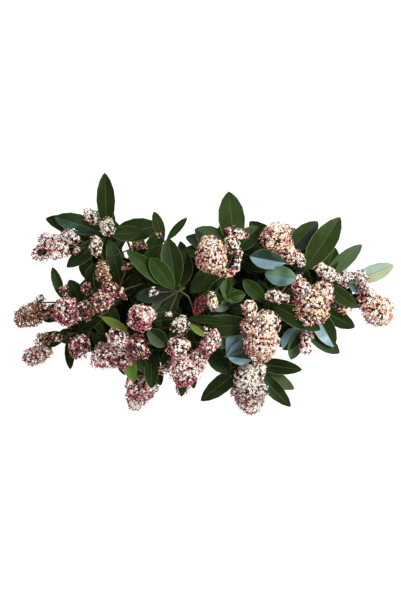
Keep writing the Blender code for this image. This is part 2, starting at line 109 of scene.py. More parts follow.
masses["front_left"] = [
    dict(at=(-66, -105),
         heads=[(-84, -162, 54, 60, 255, "rose", 0.10), (-91, -182, 50, 46, 250, "pink", 0.25)],
         leaves=[(274, 54, 25, "dark", 24), (287, 56, 22, "dark", 6)]),
    dict(at=(-69, -50),
         heads=[(-82, -44, 44, 44, 120, "rose"), (-70, -36, 26, 34, 60, "pink")]),
    dict(at=(-72, -60), up=26, leaves=[(320, 46, 28, "deep", 0)]),
]
masses["front"] = [
    dict(at=(-6, -88),
         heads=[(-19, -91, 40, 40, 120, "pink"), (34, -86, 50, 30, 58, "rose"),
                (14, -112, 44, 36, 60, "rose"), (-8, -130, 60, 62, 260, "rose", 0.2),
                (-46, -132, 24, 20, 200, "cream"), (-12, -158, 38, 34, 265, "rose", 0.3)],
         leaves=[(267, 89, 22, "dark", 0), (281, 77, 22, "dark", 0)]),
    dict(at=(-6, -43),
         heads=[(-16, -54, 32, 26, 20, "white"), (27, -64, 14, 16, 90, "white")],
         leaves=[(356, 66, 14, "dark", 8)]),
    dict(at=(-3, -51), up=34, leaves=[(322, 36, 11, "yellow", 2)]),
]
masses["centre"] = [
    dict(at=(-22, 0), up=6,
         heads=[(-60, -2, 20, 14, 30, "white"), (-34, -37, 14, 10, 0, "white")],
         leaves=[(127, 70, 30, "fresh", 14), (141, 104, 27, "bright", 11), (98, 88, 36, "dark", 8),
                 (74, 66, 34, "deep", 2), (28, 15, 5, "lime", 25), (70, 13, 5, "lime", 35)]),
    dict(at=(-42, 84),
         heads=[(-50, 96, 12, 10, 120, "cream")],
         leaves=[(110, 52, 19, "mid", 12), (49, 54, 14, "bright", 12), (222, 52, 20, "mid", 8)]),
    dict(at=(60, -13), up=12,
         leaves=[(112, 13, 6, "lime", 34), (236, 12, 6, "fresh", 30), (345, 12, 6, "lime", 34),
                 (172, 42, 22, "bright", 4), (12, 36, 20, "bright", 0), (80, 34, 18, "bright", 0)]),
    dict(at=(24, -14),
         heads=[(17, -22, 34, 24, 250, "red"), (37, -17, 32, 18, 280, "cream")]),
]
masses["back"] = [
    dict(at=(76, 68),
         heads=[(34, 60, 64, 50, 90, "orange"), (70, 78, 32, 26, 100, "cream"),
                (76, 97, 42, 20, 165, "pink"), (58, 30, 36, 14, 0, "orange"),
                (77, 42, 22, 14, 90, "cream"), (82, 64, 18, 12, 90, "cream")],
         leaves=[(97, 96, 45, "mid", 16), (151, 76, 40, "teal/grey", 6), (163, 86, 30, "teal", 2),
                 (177, 90, 26, "bright", -2), (222, 101, 34, "mid", 2), (46, 58, 32, "dark", 6)]),
]
masses["right_back"] = [
    dict(at=(158, 59),
         heads=[(143, 88, 54, 52, 110, "orange"), (163, 66, 46, 34, 310, "orange"),
                (184, 54, 34, 24, 310, "white"), (164, 104, 26, 24, 60, "grey")],
         leaves=[(47, 82, 36, "mid/teal", 8), (133, 83, 36, "dark", 2)]),
    dict(at=(189, 31), up=24,
         heads=[(144, -9, 42, 20, 170, "cream")],
         leaves=[(57, 108, 42, "mid", 14)]),
    dict(at=(163, 47), up=34, leaves=[(169, 64, 34, "frost/teal", -4, -0.06)]),
    dict(at=(183, 21), up=36, leaves=[(170, 58, 34, "sky/pale teal", 6)]),
]
masses["right"] = [
    dict(at=(224, 20),
         heads=[(212, 46, 30, 22, 150, "cream"), (229, 33, 38, 26, 150, "white"),
                (250, 22, 26, 18, 330, "grey")],
         leaves=[(66, 60, 32, "dark", 6), (41, 90, 27, "grey", 12), (321, 76, 26, "mid", 14)]),
    dict(at=(273, 14),
         heads=[(264, 24, 36, 28, 95, "grey"), (298, 18, 44, 24, 110, "grey"),
                (284, 30, 20, 14, 170, "grey")],
         leaves=[(24, 84, 30, "pale sky/pale", 10), (340, 34, 20, "frost", 6)]),
    dict(at=(270, -14),
         heads=[(326, -32, 58, 60, 0, "orange"), (306, -12, 42, 38, 120, "coral"),
                (264, -27, 28, 22, 0, "cream")]),
]
masses["right_front"] = [
    dict(at=(206, -22),
         heads=[(203, -25, 64, 62, 60, "coral"), (222, -2, 42, 44, 90, "pink"),
                (186, 4, 40, 32, 120, "pink"), (180, 18, 26, 20, 60, "orange")],
         leaves=[(299, 80, 36, "dark/frost", 8), (334, 91, 30, "dark", -18)]),
    dict(at=(190, -58),
         heads=[(196, -85, 46, 22, 270, "pink")],
         leaves=[(325, 79, 30, "dark", 4), (254, 60, 26, "pale teal", 4),
                 (232, 50, 32, "dark/frost", 12), (205, 52, 28, "deep", -6)]),
]
masses["front_right"] = [
    dict(at=(116, -55),
         heads=[(119, -84, 66, 60, 270, "orange"), (127, -52, 46, 44, 80, "cream"),
                (98, -30, 40, 24, 100, "cream"), (100, -58, 34, 32, 90, "orange")],
         leaves=[(182, 104, 38, "dark", 10), (205, 82, 36, "pale teal", 4)]),
    dict(at=(131, -18),
         leaves=[(333, 95, 34, "dark", 12), (138, 56, 24, "bright", 14)]),
    dict(at=(98, -121),
         heads=[(94, -146, 46, 44, 130, "white"), (113, -136, 38, 30, 60, "white"),
                (102, -166, 56, 66, 270, "grey", 0.08), (104, -187, 54, 56, 270, "cream", 0.2)],
         leaves=[(218, 101, 32, "deep", 6), (354, 92, 27, "deep", 12), (314, 106, 28, "deep", 6),
                 (328, 94, 28, "grey", 4)]),
    dict(at=(69, -143), up=20, leaves=[(127, 61, 34, "dark", 6)]),
    dict(at=(60, -108), up=22,
         leaves=[(34, 46, 20, "frost/sky", 8), (60, 74, 34, "frost/sky", 4),
                 (351, 44, 24, "teal/frost", 0)]),
]


def crownHeight(x, y):
    spread = (x / crown["halfWidth"]) ** 2 + (y / crown["halfDepth"]) ** 2
    return crown["top"] - crown["fall"] * spread


def shootBase(shoot):
    x, y = shoot["at"]
    return Vector((x, y, crownHeight(x, y) - crown["shootDrop"] + shoot.get("up", 0)))


def stemCentre(z):
    sway = (z / stemShape["height"]) ** 2
    return Vector((stemShape["lean"][0] * sway, stemShape["lean"][1] * sway, z))


def drawnIn(point, share, height):
    # the point at a share of its distance from the shrub's middle line, and at a new height
    return Vector((point.x * share, point.y * share, height))


def curvePoints(start, control, end, count):
    points = []
    for step in range(count + 1):
        t = step / count
        points.append(start * (1 - t) ** 2 + control * (2 * t * (1 - t)) + end * t * t)
    return points


# Small helpers for modelling and for shaders

def objectMode():
    bpy.ops.object.mode_set(mode="OBJECT")


def editMode():
    bpy.ops.object.mode_set(mode="EDIT")


def editAll():
    editMode()
    bpy.ops.mesh.select_all(action="SELECT")


def deselectAll():
    if bpy.context.object and bpy.context.object.mode != "OBJECT":
        objectMode()
    bpy.ops.object.select_all(action="DESELECT")


def addPrimitive(operator, name, place=(0, 0, 0), **settings):
    # the new primitive is then all that is selected
    deselectAll()
    operator(location=place, **settings)
    item = bpy.context.object
    item.name = name
    return item


def editSelect(item, test):
    # in edit mode, selects the vertices whose place passes the test
    bm = bmesh.from_edit_mesh(item.data)
    for vert in bm.verts:
        vert.select_set(test(vert.co))
    bm.select_flush(True)
    bmesh.update_edit_mesh(item.data)


def editShift(item, shift, test):
    editSelect(item, test)
    bpy.ops.transform.translate(value=shift)


def selectOnly(item):
    deselectAll()
    item.select_set(True)
    bpy.context.view_layer.objects.active = item


def addObject(name, data):
    item = bpy.data.objects.new(name, data)
    bpy.context.scene.collection.objects.link(item)
    return item


def displace(item, kind, size, strength, middle):
    pattern = bpy.data.textures.new(item.name + "_relief", kind)
    pattern.noise_scale = size
    relief = item.modifiers.new("relief", "DISPLACE")
    relief.texture = pattern
    relief.strength = strength
    relief.mid_level = middle
    bpy.context.view_layer.objects.active = item
    bpy.ops.object.modifier_apply(modifier=relief.name)


class Socket:
    # wraps a node socket, so that shader maths is written with + - *
    def __init__(self, tree, socket):
        self.tree = tree
        self.socket = socket

    def maths(self, operation, first, second):
        return addNode(self.tree, "ShaderNodeMath", dict(operation=operation), {0: first, 1: second})

    def __add__(self, other):
        return self.maths("ADD", self, other)

    def __sub__(self, other):
        return self.maths("SUBTRACT", self, other)

    def __rsub__(self, other):
        return self.maths("SUBTRACT", other, self)

    def __mul__(self, other):
        return self.maths("MULTIPLY", self, other)

    __radd__ = __add__
    __rmul__ = __mul__


def addNode(tree, kind, settings=None, inputs=None, out=0):
    node = tree.nodes.new(kind)
    for key, value in (settings or {}).items():
        setattr(node, key, value)
    for key, value in (inputs or {}).items():
        if isinstance(value, Socket):
            tree.links.new(value.socket, node.inputs[key])
        else:
            node.inputs[key].default_value = value
    return Socket(tree, node.outputs[out])


def fromScreen(colour):
    # screen values 0 to 255 as a linear base colour, by the sRGB curve
    def channel(value):
        share = value / 255
        if share <= 0.04045:
            return share / 12.92
        return ((share + 0.055) / 1.055) ** 2.4
    return tuple(channel(value) for value in colour) + (1.0,)


def shade(colour, gain):
    return tuple(min(part * gain, 1) for part in colour[:3]) + (1.0,)


def newFinish(name):
    material = bpy.data.materials.new(name)
    material.use_nodes = True
    return material, material.node_tree, material.node_tree.nodes["Principled BSDF"]


def ownPlace(tree):
    return addNode(tree, "ShaderNodeTexCoord", out=3)  # Object coordinates


def cloudy(tree, place, scale, detail=2.0):
    return addNode(tree, "ShaderNodeTexNoise", inputs={"Vector": place, "Scale": scale, "Detail": detail})


def colourMix(tree, share, first, second):
    return addNode(tree, "ShaderNodeMix", dict(data_type="RGBA"), {0: share, 6: first, 7: second}, out=2)


mottleDetail = 3.0


def mottled(tree, colour, look):
    # the colour, a little darker and lighter by place
    place = ownPlace(tree)
    cloud = cloudy(tree, place, look["mottleScale"], mottleDetail)
    mixed = colourMix(tree, cloud, shade(colour, 1 - look["mottle"]), shade(colour, 1 + look["mottle"]))
    return place, cloud, mixed


def link(tree, source, shader, name):
    tree.links.new(source.socket, shader.inputs[name])


def addBump(tree, shader, height, distance, strength):
    bump = addNode(tree, "ShaderNodeBump", inputs={"Height": height, "Distance": distance,
                                                   "Strength": strength})
    link(tree, bump, shader, "Normal")


# Finishes

# leaf look: the mottle is random tone; the pale spots and the darker base of waxy leaves are painted sheen
leafLook = dict(mottle=0.28, mottleScale=45, paintedSheen=0.9, paintedSheenGain=3, paintedSheenScale=17, paintedSheenDetail=1.0,
                paintedSheenLift=(0.026, 0.037, 0.021), waxGloss=0.3, waxySheenDark=0.64, waxySheenPale=2.3, waxySheenScale=30,
                roughness=0.34, roughnessSpread=0.14, grainScale=700, grainHeight=0.0002,
                grainStrength=0.6, specular=0.12, specularTint=(0.8, 1.0, 0.6, 1), coatRoughness=0.28)
# screen colour, and how much clear gloss lies over it
leafColours = {
    # painted shade: the darkest green, for leaves that lie in shade under the crown
    "deep": ((18, 27, 6), 0),
    "dark": ((25, 37, 10), 0),
    "mid": ((36, 49, 18), 0.02),
    "bright": ((29, 47, 9), 0),
    "fresh": ((34, 53, 15), 0.04),
    "yellow": ((94, 108, 38), 0.02),
    "olive": ((44, 47, 18), 0.02),
    # teal is the leaves' own bluish green with some painted sheen in it; pale teal and the next two are
    # painted reflection and highlight of the window light on glossy leaves
    "teal": ((31, 53, 44), 0.35),
    "pale teal": ((76, 100, 74), 0.35),
    "sky": ((76, 104, 102), 0.45),
    "frost": ((122, 152, 164), 0.35),
    "lime": ((68, 96, 32), 0.05),
    # these two are painted sheen, pale reflection on glossy leaves
    "pale": ((150, 158, 120), 0.08),
    "pale sky": ((138, 154, 140), 0.10),
    "grey": ((64, 80, 50), 0.10),
    "rib": ((70, 88, 42), 0),
    "rim": ((100, 118, 68), 0),
    "under": ((70, 90, 46), 0),
}


def leafFinish(name, colour, gloss):
    material, tree, shader = newFinish("leaf_" + name.replace(" ", "_"))
    look = leafLook
    dark, pale, scale = 1, 1, look["paintedSheenScale"]
    if gloss > look["waxGloss"]:
        dark, pale, scale = look["waxySheenDark"], look["waxySheenPale"], look["waxySheenScale"]
    place, cloud, mixed = mottled(tree, shade(colour, dark), look)
    # painted sheen: soft pale spots that stand in for reflections of the window light, stronger and smaller
    # on a waxy leaf, whose base colour is darkened to go with them
    sheenCloud = cloudy(tree, place, scale, look["paintedSheenDetail"])
    share = addNode(tree, "ShaderNodeMath", dict(operation="MULTIPLY", use_clamp=True),
                    {0: (sheenCloud - 0.5) * look["paintedSheenGain"], 1: look["paintedSheen"]})
    sheenColour = tuple(min(part + lift, 1) for part, lift in zip(shade(colour, pale), look["paintedSheenLift"]))
    link(tree, colourMix(tree, share, mixed, sheenColour + (1.0,)), shader, "Base Color")
    link(tree, look["roughness"] + look["roughnessSpread"] * (cloud - 0.5), shader, "Roughness")
    grain = cloudy(tree, place, look["grainScale"])
    addBump(tree, shader, grain, look["grainHeight"], look["grainStrength"])
    shader.inputs["Specular IOR Level"].default_value = look["specular"]
    shader.inputs["Specular Tint"].default_value = look["specularTint"]
    shader.inputs["Coat Weight"].default_value = gloss
    shader.inputs["Coat Roughness"].default_value = look["coatRoughness"]
    return material


petalColours = {
    "white": (255, 247, 238),
    "cream": (246, 224, 198),
    "straw": (234, 202, 148),
    "blush": (238, 180, 168),
    "silver": (206, 202, 198),
    "tan": (146, 104, 78),
    "anther": (226, 190, 122),
}
budColours = {
    "pink": (222, 134, 142),
    "rose": (178, 58, 88),
    "maroon": (70, 14, 28),
    "amber": (224, 166, 118),
    "shell": (232, 194, 168),
    "tan": (140, 90, 60),
    "ruby": (150, 30, 28),
}
# painted shade: the near-black heart, with a little red, stands in for the shade inside a head
heartShadeColour = (26, 12, 12)
petalLook = dict(mottle=0.10, mottleScale=260, roughness=0.5, roughnessSpread=0.2, coat=0)
budLook = dict(mottle=0.28, mottleScale=320, roughness=0.28, roughnessSpread=0.2, coat=0.2)


def blossomFinish(name, colour, look):
    material, tree, shader = newFinish(name)
    _, cloud, mixed = mottled(tree, colour, look)
    link(tree, mixed, shader, "Base Color")
    link(tree, look["roughness"] + look["roughnessSpread"] * cloud, shader, "Roughness")
    shader.inputs["Coat Weight"].default_value = look["coat"]
    return material


barkLook = dict(stretch=(1, 1, 0.22), detail=6.0, crackScale=1.4, crackDepth=0.6, strength=0.9,
                roughness=0.7, roughnessSpread=0.25)
barks = dict(
    bark=dict(dark=(0.060, 0.036, 0.020, 1), light=(0.215, 0.150, 0.090, 1), scale=160, height=0.0012),
    twig_bark=dict(dark=(0.034, 0.026, 0.011, 1), light=(0.115, 0.075, 0.034, 1), scale=240, height=0.0006))


def barkFinish(name):
    material, tree, shader = newFinish(name)
    look = dict(barkLook, **barks[name])
    along = addNode(tree, "ShaderNodeMapping", inputs={"Vector": ownPlace(tree), "Scale": look["stretch"]})
    cloud = cloudy(tree, along, look["scale"], look["detail"])
    cracks = addNode(tree, "ShaderNodeTexVoronoi", dict(feature="DISTANCE_TO_EDGE"),
                     {"Vector": along, "Scale": look["scale"] * look["crackScale"]})
    link(tree, colourMix(tree, cloud, look["dark"], look["light"]), shader, "Base Color")
    link(tree, look["roughness"] + look["roughnessSpread"] * cloud, shader, "Roughness")
    addBump(tree, shader, cloud + look["crackDepth"] * cracks, look["height"], look["strength"])
    return material


finishes = {}
for name, (colour, gloss) in leafColours.items():
    finishes[name] = leafFinish(name, fromScreen(colour), gloss)
for name, colour in petalColours.items():
    finishes["petal " + name] = blossomFinish("petal_" + name, fromScreen(colour), petalLook)
for name, colour in budColours.items():
    finishes["bud " + name] = blossomFinish("bud_" + name, fromScreen(colour), budLook)
finishes["heart"] = blossomFinish("heart", fromScreen(heartShadeColour), budLook)
for name in barks:
    finishes[name] = barkFinish(name)
print("finishes made", len(finishes))


# Camera, floor and light

# straight above, as the photo was taken
photoView = dict(lens=85, sensor=36, place=(0.018, -0.0145, 2.712))


def addCamera():
    data = bpy.data.cameras.new("photo_view")
    data.lens = photoView["lens"]
    data.sensor_width = photoView["sensor"]
    camera = addObject("photo_view", data)
    camera.location = photoView["place"]
    bpy.context.scene.camera = camera


# ambient lights the plant and backdrop is what the camera sees of the surroundings
# each lamp: name, place, size, power, colour
lights = dict(ambient=0.23, backdrop=1.0, aim=(0, 0, 0.3),
              lamps=(("window", (1.5, 0.7, 2.2), 1.3, 92, (0.95, 0.98, 1.0)),
                     ("soft_left", (-1.4, 0.5, 2.8), 2.4, 12, (1.0, 0.98, 0.95)),
                     ("soft_front", (0.2, -2.0, 2.2), 2.0, 14, (1.0, 1.0, 1.0)),
                     ("low_front", (-0.5, -2.4, 0.5), 1.6, 7, (1.0, 1.0, 1.0)),
                     ("low_back", (0.4, 2.4, 0.6), 1.6, 7, (1.0, 1.0, 1.0))))


def addLights():
    world = bpy.data.worlds.new("studio")
    bpy.context.scene.world = world
    world.use_nodes = True
    back = world.node_tree.nodes["Background"]
    back.inputs["Color"].default_value = (1, 1, 1, 1)
    seen = addNode(world.node_tree, "ShaderNodeLightPath")
    strength = lights["ambient"] + (lights["backdrop"] - lights["ambient"]) * seen
    world.node_tree.links.new(strength.socket, back.inputs["Strength"])
    for name, place, size, power, colour in lights["lamps"]:
        data = bpy.data.lights.new(name, "AREA")
        data.shape = "DISK"
        data.size = size
        data.energy = power
        data.color = colour
        lamp = addObject(name, data)
        lamp.location = place
        lamp.rotation_euler = (Vector(lights["aim"]) - Vector(place)).to_track_quat("-Z", "Y").to_euler()
        lamp.visible_camera = False


floorLook = dict(size=14, colour=(0.22, 0.22, 0.22, 1), mottle=0.01, mottleScale=3,
                 roughness=0.85, roughnessSpread=0.1, glow=0.93)


def addFloor():
    look = floorLook
    floor = addPrimitive(bpy.ops.mesh.primitive_plane_add, "floor", size=look["size"])
    material, tree, shader = newFinish("floor_pale")
    _, cloud, mixed = mottled(tree, look["colour"], look)
    link(tree, mixed, shader, "Base Color")
    link(tree, look["roughness"] + look["roughnessSpread"] * cloud, shader, "Roughness")
    shader.inputs["Emission Color"].default_value = (1, 1, 1, 1)
    shader.inputs["Emission Strength"].default_value = look["glow"]
    floor.data.materials.append(material)


addCamera()
addLights()
addFloor()
bpy.context.scene.view_settings.view_transform = "Standard"
print("camera, lights and floor set")


# Copies of one modelled shape, joined into a piece

def shapeArrays(item):
    # points, and the corners and material number of each face, of a modelled shape
    mesh = item.data
    points = np.empty(len(mesh.vertices) * 3)
    mesh.vertices.foreach_get("co", points)
    points = points.reshape(-1, 3)
    slots = np.array([face.material_index for face in mesh.polygons])
    faces = []
    for face in mesh.polygons:
        corners = tuple(face.vertices)
        if len(corners) == 4:  # a bent face then folds along its shorter diagonal
            spots = points[list(corners)]
            if np.linalg.norm(spots[0] - spots[2]) > np.linalg.norm(spots[1] - spots[3]) + 1e-6:
                corners = corners[1:] + corners[:1]
        faces.append(corners)
    return points, faces, slots


def takeArrays(item):
    arrays = shapeArrays(item)
    bpy.data.objects.remove(item, do_unlink=True)
    return arrays


creaseAngle = 50  # degrees, past which an edge stays sharp


def joinedPiece(name, parts, materials):
    # parts: (points, faces, slot numbers), one for each copy
    counts = [len(points) for points, faces, slots in parts]
    starts = np.concatenate(([0], np.cumsum(counts)[:-1]))
    points = np.concatenate([part[0] for part in parts])
    corners = []
    sizes = []
    for start, (_, faces, _) in zip(starts, parts):
        corners.append(np.concatenate(faces) + start)
        sizes.append(np.array([len(face) for face in faces]))
    corners = np.concatenate(corners)
    sizes = np.concatenate(sizes)
    slots = np.concatenate([part[2] for part in parts])
    mesh = bpy.data.meshes.new(name)
    mesh.vertices.add(len(points))
    mesh.vertices.foreach_set("co", points.ravel())
    mesh.loops.add(len(corners))
    mesh.loops.foreach_set("vertex_index", corners.astype(np.int32))
    mesh.polygons.add(len(sizes))
    mesh.polygons.foreach_set("loop_start", np.concatenate(([0], np.cumsum(sizes)[:-1])).astype(np.int32))
    mesh.polygons.foreach_set("material_index", slots.astype(np.int32))
    for material in materials:
        mesh.materials.append(material)
    mesh.update(calc_edges=True)
    item = addObject(name, mesh)
    selectOnly(item)
    bpy.ops.object.shade_smooth_by_angle(angle=math.radians(creaseAngle))
    triangles = int((sizes - 2).sum())
    print(name, len(parts), "copies", triangles, "triangles")
    return item


def moved(points, matrix):
    turn = np.array(matrix.to_3x3())
    return points @ turn.T + np.array(matrix.translation)


# One leaf, modelled flat: 1 long, 1 wide, root at 0, tip at 1

leafShape = dict(stations=(0.0, 0.08, 0.20, 0.36, 0.55, 0.73, 0.88, 0.965, 1.0),
                 widths=(0.0, 0.13, 0.52, 0.87, 1.0, 0.90, 0.58, 0.24, 0.0),
                 rib=0.011, rim=0.480, thickness=0.017, thinnest=0.0001, merge=0.004,
                 ribZone=0.06, rimZone=0.42,  # shares of the width where the rib ends and the rim starts
                 ribRow=0.1, rimRow=0.3)  # where a grid of five rows has its inner lines


def modelLeaf():
    shape = leafShape
    steps = len(shape["stations"]) - 1
    near = 0.01
    aside = 10  # finished columns wait here, out of reach of the next selection
    leaf = addPrimitive(bpy.ops.mesh.primitive_grid_add, "leaf_model", (0.5, 0, 0),
                        x_subdivisions=steps, y_subdivisions=5, size=1)
    bpy.ops.object.transform_apply(location=True, rotation=True, scale=True)
    editMode()
    # rows across: rim, blade edge and rib
    for row, target in ((shape["rimRow"], shape["rim"]), (shape["ribRow"], shape["rib"])):
        for side in (1, -1):
            editShift(leaf, (0, side * (target - row), 0), lambda co: abs(co.y - side * row) < near)
    # the underside starts 1 below, and its edge rises to the blade's
    bpy.ops.mesh.select_all(action="DESELECT")
    bpy.ops.mesh.primitive_grid_add(x_subdivisions=steps, y_subdivisions=2, size=1,
                                    location=(0.5, 0, -1), rotation=(math.pi, 0, 0))
    editShift(leaf, (0, 0, 1 - shape["thickness"]), lambda co: co.z < -0.5 and abs(co.y) < near)
    editShift(leaf, (0, 0, 1), lambda co: co.z < -0.5 and abs(co.y) > 0.4)
    # columns: narrowed to the outline, then slid to their stations
    for step in range(steps, -1, -1):
        column = step / steps
        editSelect(leaf, lambda co: abs(co.x - column) < near)
        bpy.ops.transform.resize(value=(1, max(shape["widths"][step], shape["thinnest"]), 1),
                                 center_override=(column, 0, 0))
        bpy.ops.transform.translate(value=(aside + shape["stations"][step] - column, 0, 0))
    editShift(leaf, (-aside, 0, 0), lambda co: True)
    bpy.ops.mesh.remove_doubles(threshold=shape["merge"])
    objectMode()
    points = shapeArrays(leaf)[0]
    for face in leaf.data.polygons:
        middle = points[list(face.vertices)].mean(axis=0)
        if face.normal.z < 0:
            face.material_index = 4  # underside
            continue
        across = middle[1] / np.interp(middle[0], shape["stations"], shape["widths"])
        if abs(across) < shape["ribZone"]:
            face.material_index = 2  # rib
        elif abs(across) > shape["rimZone"]:
            face.material_index = 3  # rim
        else:
            face.material_index = 0 if across > 0 else 1  # left and right half
    return leaf


leafArrays = takeArrays(modelLeaf())
print("leaf modelled", len(leafArrays[1]), "faces", sorted(set(leafArrays[2].tolist())))

leafNames = list(leafColours)
leafBend = dict(fold=0.20, foldSpread=0.08, droop=0.12, droopSpread=0.06, sickle=0.03,
                wave=0.02, waves=9)


def bentLeaf(length, width, matrix, colours, rng, droop=None):
    # the modelled leaf at its size, folded along the rib, drooping and a little wavy
    points, faces, slots = leafArrays
    bend = leafBend
    x, y, z = points.T
    if droop is None:
        droop = bend["droop"] + rng.uniform(-1, 1) * bend["droopSpread"]
    fold = bend["fold"] + rng.uniform(-1, 1) * bend["foldSpread"]
    sickle = rng.uniform(-1, 1) * bend["sickle"]
    phase = rng.uniform(0, 2 * math.pi)
    wave = bend["wave"] * width * np.sin(bend["waves"] * x + phase) * np.abs(y) * 2
    across = y * width
    shaped = np.stack((x * length,
                       across + sickle * length * x * x,
                       z * length + np.abs(across) * fold - droop * length * x * x + wave), axis=1)
    # each half of a leaf can take its own colour, so that one half carries a painted reflection
    left, right = (colours.split("/") * 2)[:2]
    numbers = [leafNames.index(kind) for kind in (left, right, "rib", "rim", "under")]
    return moved(shaped, matrix) * mm, faces, np.array(numbers)[slots]


def leafMatrix(root, bearing, rise, roll):
    turn = Matrix.Rotation(math.radians(bearing), 4, "Z")
    tilt = Matrix.Rotation(math.radians(-rise), 4, "Y")
    twist = Matrix.Rotation(math.radians(roll), 4, "X")
    return Matrix.Translation(root) @ turn @ tilt @ twist


# spots on a leaf and radii of discs round them, as shares of its length and width, then distances
cover = dict(disc=((0.25, 0.36), (0.4, 0.46), (0.55, 0.48), (0.7, 0.42), (0.85, 0.26)),
             edge=((0.3, 0.4), (0.6, 0.5), (0.8, 0.4), (1.0, 0.0)),
             sight=((0.3, 0.34), (0.5, 0.42), (0.7, 0.38), (0.88, 0.22)),
             probe=[(share, side) for share in (0.3, 0.6, 0.9) for side in (-0.4, 0, 0.4)],
             hub=24, margin=1, clear=6, hollowDepth=150)


def coverDiscs():
    # discs that follow the listed leaves and heads in plan
    discs = []
    for shoots in masses.values():
        for shoot in shoots:
            x, y = shoot["at"]
            discs.append((x, y, cover["hub"]))
            for head in shoot.get("heads", ()):
                discs.append((head[0], head[1], 0.5 * min(head[2], head[3]) + cover["margin"]))
            for bearing, length, width, *_ in shoot.get("leaves", ()):
                turn = math.radians(bearing)
                for share, part in cover["disc"]:
                    discs.append((x + length * share * math.cos(turn),
                                  y + length * share * math.sin(turn), width * part + cover["margin"]))
    return np.array(discs)


discs = coverDiscs()


def covered(x, y):
    if (x / crown["innerHalfWidth"]) ** 2 + (y / crown["innerHalfDepth"]) ** 2 < 1:
        return True
    return bool((((discs[:, 0] - x) ** 2 + (discs[:, 1] - y) ** 2) < discs[:, 2] ** 2).any())


def leafCovered(matrix, length, width):
    for share, part in cover["edge"]:
        for side in (1, -1):
            spot = matrix @ Vector((length * share, side * part * width, 0))
            if not covered(spot.x, spot.y):
                return False
    return True


# Twigs, leaves and heads of each mass, by the same rule as the solids

growth = dict(topStations=(0.97, 0.84, 0.72, 0.90, 0.78, 0.66), heartReach=0.78, heartDrop=105,
              stemLead=0.45, stemOverlap=2, twigOut=0.55, twigClimb=0.30, steps=8,
              twigRadii=(3.6, 3.0, 2.6, 2.3, 2.0), stemRadii=(4.6, 4.4, 4.2, 3.9, 3.6),
              branchRadii=(1.7, 1.5, 1.3, 1.1), lowTwig=0.85,
              stalk=0.7, stalkPerLength=0.03, stalkMost=1.8, stalkTip=0.7,
              leafSpacing=3.4, topSpacing=0.7, goldenTurn=137.5, topRoll=6, steepest=35, raised=6,
              seed=41)
# leaves that fill in, each next one round a twig rising riseStep less
fill = dict(length=74, lengths=(0.62, 1.12), width=25, widths=(0.85, 1.2), riseSpread=5, roll=12,
            riseStep=4.5, tries=30, tryStep=0.5, furthest=0.95,
            kinds=("deep", "dark", "mid", "olive", "teal"))
# the top fill lies in shade under the crown and is mostly the painted-shade green
topFill = dict(count=7, firstRise=-6, weights=(12, 7, 2, 1, 1))
lowFill = dict(count=11, firstRise=44, weights=(2, 8, 8, 1, 2))
# lower shoots: sideways turn, reach and height as shares of the mass's middle, stem station
lowShoots = ((-17, 0.94, 0.72, 0.56), (17, 0.86, 0.52, 0.40), (0, 0.62, 0.34, 0.22),
             (8, 0.98, 0.60, 0.62), (-8, 0.80, 0.42, 0.34), (20, 0.90, 0.80, 0.70),
             (-22, 0.88, 0.50, 0.44), (10, 0.84, 0.30, 0.20))


# places where the photo looks down into the dark, kept open above a depth: x, y, radius, height
hollows = []
for x, y, radius in ((-3, -22, 15), (-12, 36, 14), (-112, -28, 14), (72, 58, 13), (-84, -70, 12)):
    hollows.append((x, y, radius, crownHeight(x, y) - cover["hollowDepth"]))
# bare branches seen between the shoots: x, y, depth under the crown
branches = {
    "centre": (((-22, 0, 47), (-15, 1, 42), (-2, -8, 44), (5, -26, 48), (11, -50, 56), (22, -68, 66)),
               ((-22, 0, 47), (-42, -14, 50), (-62, -28, 56), (-80, -44, 58))),
    "left": (((-128, -4, 52), (-112, 2, 50), (-96, 8, 52), (-78, 14, 62)),),
}
topLeaves = []  # x, y, radius and height of discs on the listed leaves, which stay in sight


def hidesTop(matrix, length, width):
    for share, side in cover["probe"]:
        spot = matrix @ Vector((length * share, side * width, 0))
        for x, y, radius, z in topLeaves + hollows:
            if (spot.x - x) ** 2 + (spot.y - y) ** 2 < radius ** 2 and spot.z > z:
                return True
    return False


def levelShare(rise):
    # how long a leaf at this rise looks from above
    return math.cos(math.radians(min(abs(rise), growth["steepest"])))


